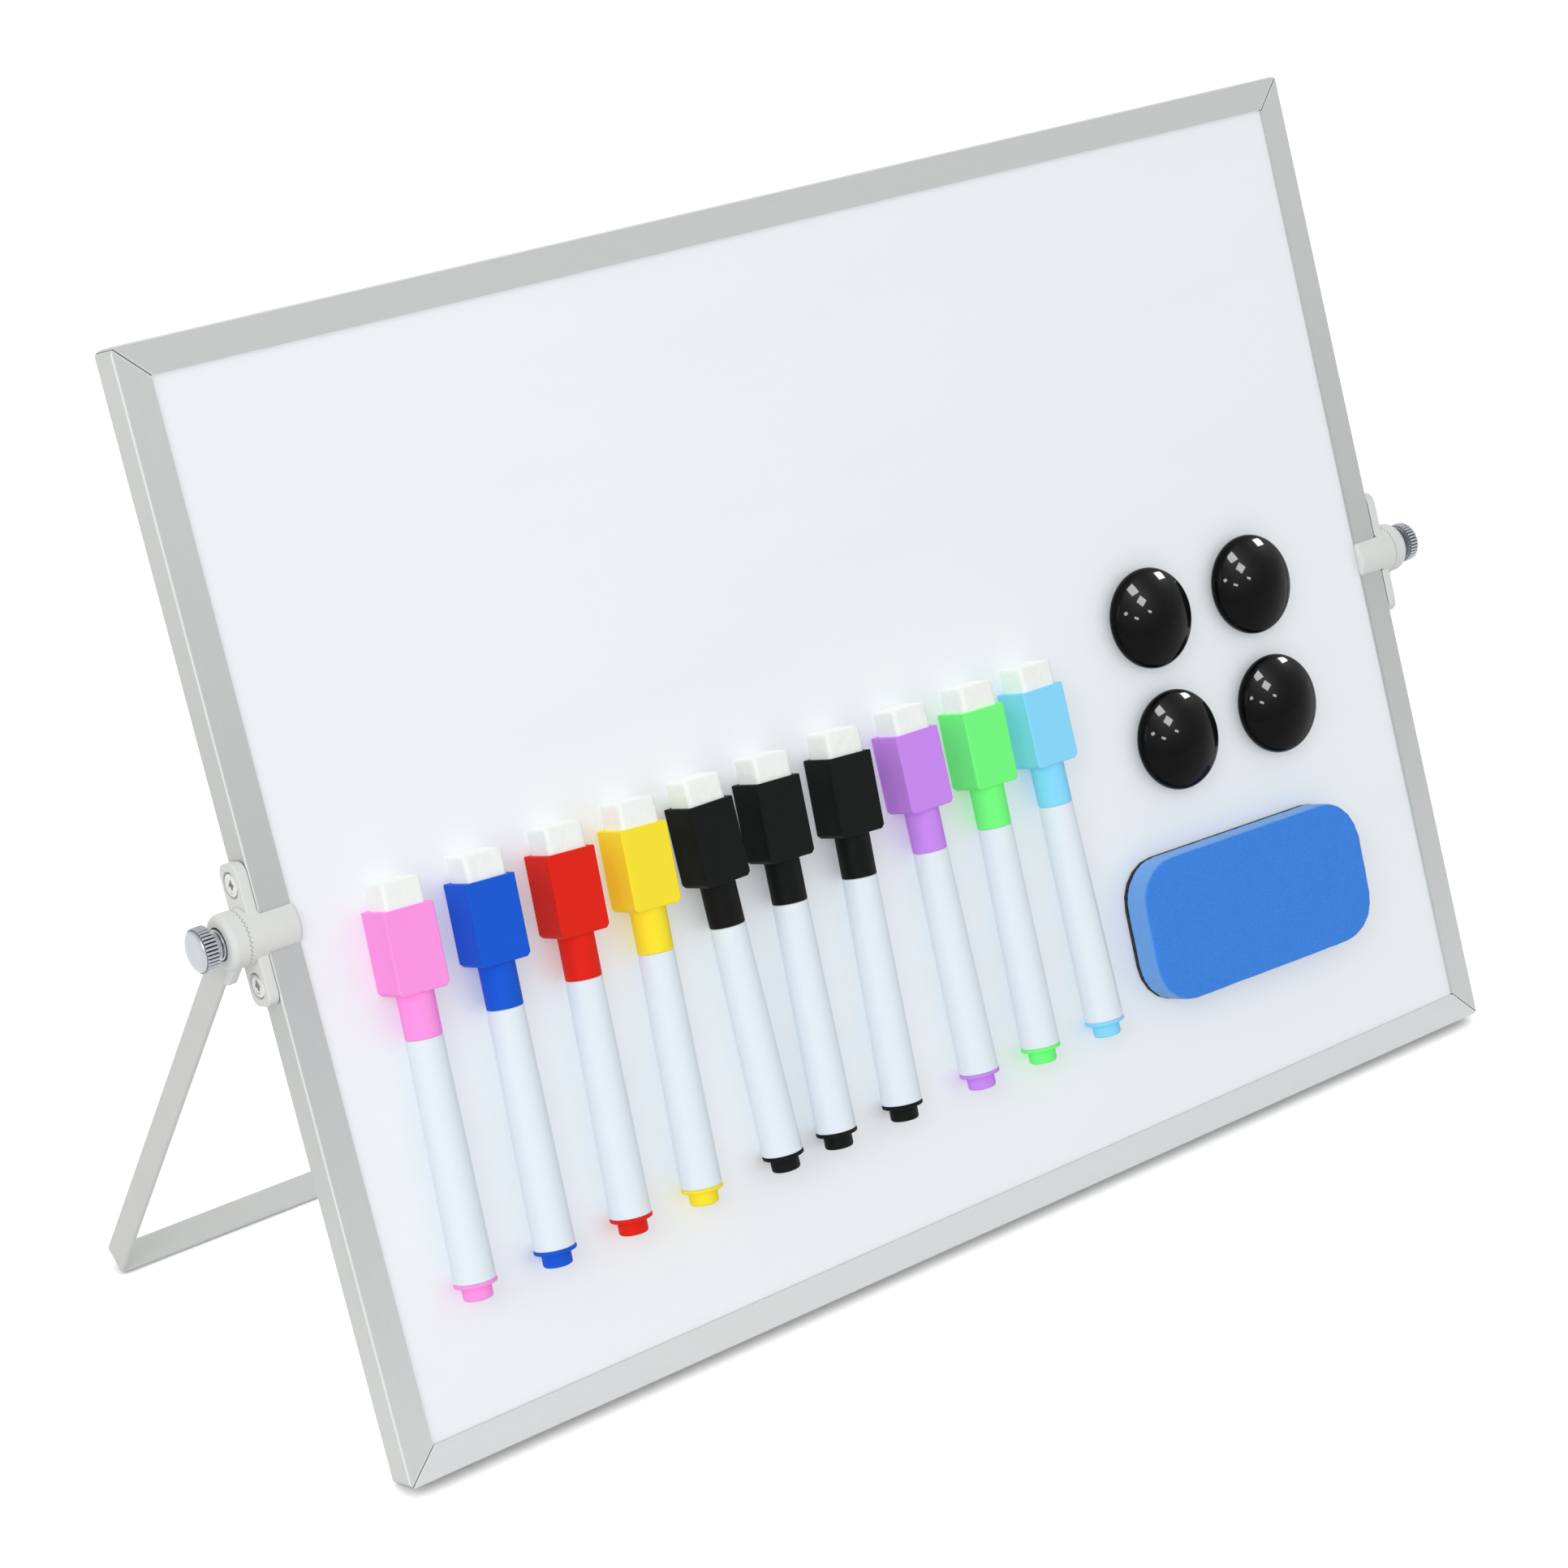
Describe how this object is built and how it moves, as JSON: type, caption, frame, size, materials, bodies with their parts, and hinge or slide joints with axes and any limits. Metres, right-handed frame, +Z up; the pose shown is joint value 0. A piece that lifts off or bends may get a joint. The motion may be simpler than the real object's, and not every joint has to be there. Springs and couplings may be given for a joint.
{
  "type": "magnetic desk whiteboard easel",
  "caption": "Framed magnetic whiteboard that turns on a bent flat-bar stand between knurled thumbscrews, with capped markers, dome magnets and a foam eraser.",
  "frame": {"origin": "on the desk, under the middle of the whole object at rest", "axes": "+X along the board's width, +Y to the back, +Z up; the board faces -Y and leans back 22 degrees"},
  "size_m": [0.4348, 0.146, 0.2814],
  "materials": {
    "rail_aluminium": "satin anodised",
    "key_plastic": "moulded",
    "enamelled_steel": "glossy dry-erase enamel",
    "core_board": "fibreboard",
    "bracket_plastic": "fine moulded texture",
    "screw_steel": "zinc plated",
    "insert_brass": "turned",
    "stand_paint": "light grey powder coat",
    "thumbscrew_plating": "bright plated",
    "magnet_housing": "polished black",
    "eraser_foam": "fine-celled foam",
    "magnetic_rubber": "matte",
    "marker_barrel": "white, faintly blue",
    "felt_pad": "pressed felt",
    "marker_pink": "satin moulded",
    "marker_blue": "satin moulded",
    "marker_red": "satin moulded",
    "marker_yellow": "satin moulded",
    "marker_black": "satin moulded",
    "marker_purple": "satin moulded",
    "marker_green": "satin moulded",
    "marker_sky": "satin moulded"
  },
  "bodies": {
    "board": {"top_rail": "rail_aluminium", "bottom_rail": "rail_aluminium", "left_rail": "rail_aluminium", "right_rail": "rail_aluminium", "corner_keys": "key_plastic", "writing_sheets": "enamelled_steel", "board_core": "core_board", "frame_brackets": "bracket_plastic", "bracket_screws": "screw_steel", "insert_nuts": "insert_brass"},
    "stand": {"stand_bar": "stand_paint", "stand_hubs": "bracket_plastic"},
    "left_thumbscrew": {"left_thumbscrew": "thumbscrew_plating"},
    "right_thumbscrew": {"right_thumbscrew": "thumbscrew_plating"},
    "magnet_1": {"magnet_1": "magnet_housing"},
    "magnet_2": {"magnet_2": "magnet_housing"},
    "magnet_3": {"magnet_3": "magnet_housing"},
    "magnet_4": {"magnet_4": "magnet_housing"},
    "eraser": {"eraser_foam": "eraser_foam", "eraser_backing": "magnetic_rubber"},
    "marker_1": {"marker_1_barrel": "marker_barrel", "marker_1_refill": "marker_pink"},
    "marker_1_cap": {"marker_1_cap": "marker_pink", "marker_1_pad": "felt_pad"},
    "marker_2": {"marker_2_barrel": "marker_barrel", "marker_2_refill": "marker_blue"},
    "marker_2_cap": {"marker_2_cap": "marker_blue", "marker_2_pad": "felt_pad"},
    "marker_3": {"marker_3_barrel": "marker_barrel", "marker_3_refill": "marker_red"},
    "marker_3_cap": {"marker_3_cap": "marker_red", "marker_3_pad": "felt_pad"},
    "marker_4": {"marker_4_barrel": "marker_barrel", "marker_4_refill": "marker_yellow"},
    "marker_4_cap": {"marker_4_cap": "marker_yellow", "marker_4_pad": "felt_pad"},
    "marker_5": {"marker_5_barrel": "marker_barrel", "marker_5_refill": "marker_black"},
    "marker_5_cap": {"marker_5_cap": "marker_black", "marker_5_pad": "felt_pad"},
    "marker_6": {"marker_6_barrel": "marker_barrel", "marker_6_refill": "marker_black"},
    "marker_6_cap": {"marker_6_cap": "marker_black", "marker_6_pad": "felt_pad"},
    "marker_7": {"marker_7_barrel": "marker_barrel", "marker_7_refill": "marker_black"},
    "marker_7_cap": {"marker_7_cap": "marker_black", "marker_7_pad": "felt_pad"},
    "marker_8": {"marker_8_barrel": "marker_barrel", "marker_8_refill": "marker_purple"},
    "marker_8_cap": {"marker_8_cap": "marker_purple", "marker_8_pad": "felt_pad"},
    "marker_9": {"marker_9_barrel": "marker_barrel", "marker_9_refill": "marker_green"},
    "marker_9_cap": {"marker_9_cap": "marker_green", "marker_9_pad": "felt_pad"},
    "marker_10": {"marker_10_barrel": "marker_barrel", "marker_10_refill": "marker_sky"},
    "marker_10_cap": {"marker_10_cap": "marker_sky", "marker_10_pad": "felt_pad"}
  },
  "joints": [
    {"name": "stand_tilt", "type": "hinge", "parent": "board", "child": "stand", "pos_m": [0, -0.01243, 0.14069], "axis": [1, 0, 0], "continuous": true},
    {"name": "left_thumbscrew_turn", "type": "hinge", "parent": "board", "child": "left_thumbscrew", "pos_m": [-0.215, -0.01243, 0.14069], "axis": [1, 0, 0], "continuous": true},
    {"name": "right_thumbscrew_turn", "type": "hinge", "parent": "board", "child": "right_thumbscrew", "pos_m": [0.215, -0.01243, 0.14069], "axis": [1, 0, 0], "continuous": true},
    {"name": "magnet_1_lift", "type": "slide", "parent": "board", "child": "magnet_1", "axis": [0, -0.9272, 0.3746], "range_m": [0, 0.03]},
    {"name": "magnet_2_lift", "type": "slide", "parent": "board", "child": "magnet_2", "axis": [0, -0.9272, 0.3746], "range_m": [0, 0.03]},
    {"name": "magnet_3_lift", "type": "slide", "parent": "board", "child": "magnet_3", "axis": [0, -0.9272, 0.3746], "range_m": [0, 0.03]},
    {"name": "magnet_4_lift", "type": "slide", "parent": "board", "child": "magnet_4", "axis": [0, -0.9272, 0.3746], "range_m": [0, 0.03]},
    {"name": "eraser_lift", "type": "slide", "parent": "board", "child": "eraser", "axis": [0, -0.9272, 0.3746], "range_m": [0, 0.04]},
    {"name": "marker_1_lift", "type": "slide", "parent": "board", "child": "marker_1", "axis": [0, -0.9272, 0.3746], "range_m": [0, 0.04]},
    {"name": "marker_1_cap_pull", "type": "slide", "parent": "marker_1", "child": "marker_1_cap", "axis": [0.0523, 0.3741, 0.9259], "range_m": [0, 0.03]},
    {"name": "marker_2_lift", "type": "slide", "parent": "board", "child": "marker_2", "axis": [0, -0.9272, 0.3746], "range_m": [0, 0.04]},
    {"name": "marker_2_cap_pull", "type": "slide", "parent": "marker_2", "child": "marker_2_cap", "axis": [0.0523, 0.3741, 0.9259], "range_m": [0, 0.03]},
    {"name": "marker_3_lift", "type": "slide", "parent": "board", "child": "marker_3", "axis": [0, -0.9272, 0.3746], "range_m": [0, 0.04]},
    {"name": "marker_3_cap_pull", "type": "slide", "parent": "marker_3", "child": "marker_3_cap", "axis": [0.0593, 0.3739, 0.9256], "range_m": [0, 0.03]},
    {"name": "marker_4_lift", "type": "slide", "parent": "board", "child": "marker_4", "axis": [0, -0.9272, 0.3746], "range_m": [0, 0.04]},
    {"name": "marker_4_cap_pull", "type": "slide", "parent": "marker_4", "child": "marker_4_cap", "axis": [0.0593, 0.3739, 0.9256], "range_m": [0, 0.03]},
    {"name": "marker_5_lift", "type": "slide", "parent": "board", "child": "marker_5", "axis": [0, -0.9272, 0.3746], "range_m": [0, 0.04]},
    {"name": "marker_5_cap_pull", "type": "slide", "parent": "marker_5", "child": "marker_5_cap", "axis": [0.0035, 0.3746, 0.9272], "range_m": [0, 0.03]},
    {"name": "marker_6_lift", "type": "slide", "parent": "board", "child": "marker_6", "axis": [0, -0.9272, 0.3746], "range_m": [0, 0.04]},
    {"name": "marker_6_cap_pull", "type": "slide", "parent": "marker_6", "child": "marker_6_cap", "axis": [0.0454, 0.3742, 0.9262], "range_m": [0, 0.03]},
    {"name": "marker_7_lift", "type": "slide", "parent": "board", "child": "marker_7", "axis": [0, -0.9272, 0.3746], "range_m": [0, 0.04]},
    {"name": "marker_7_cap_pull", "type": "slide", "parent": "marker_7", "child": "marker_7_cap", "axis": [0.0593, 0.3739, 0.9256], "range_m": [0, 0.03]},
    {"name": "marker_8_lift", "type": "slide", "parent": "board", "child": "marker_8", "axis": [0, -0.9272, 0.3746], "range_m": [0, 0.04]},
    {"name": "marker_8_cap_pull", "type": "slide", "parent": "marker_8", "child": "marker_8_cap", "axis": [0.0175, 0.3745, 0.927], "range_m": [0, 0.03]},
    {"name": "marker_9_lift", "type": "slide", "parent": "board", "child": "marker_9", "axis": [0, -0.9272, 0.3746], "range_m": [0, 0.04]},
    {"name": "marker_9_cap_pull", "type": "slide", "parent": "marker_9", "child": "marker_9_cap", "axis": [0.0297, 0.3744, 0.9268], "range_m": [0, 0.03]},
    {"name": "marker_10_lift", "type": "slide", "parent": "board", "child": "marker_10", "axis": [0, -0.9272, 0.3746], "range_m": [0, 0.04]},
    {"name": "marker_10_cap_pull", "type": "slide", "parent": "marker_10", "child": "marker_10_cap", "axis": [0.0052, 0.3746, 0.9272], "range_m": [0, 0.03]}
  ]
}
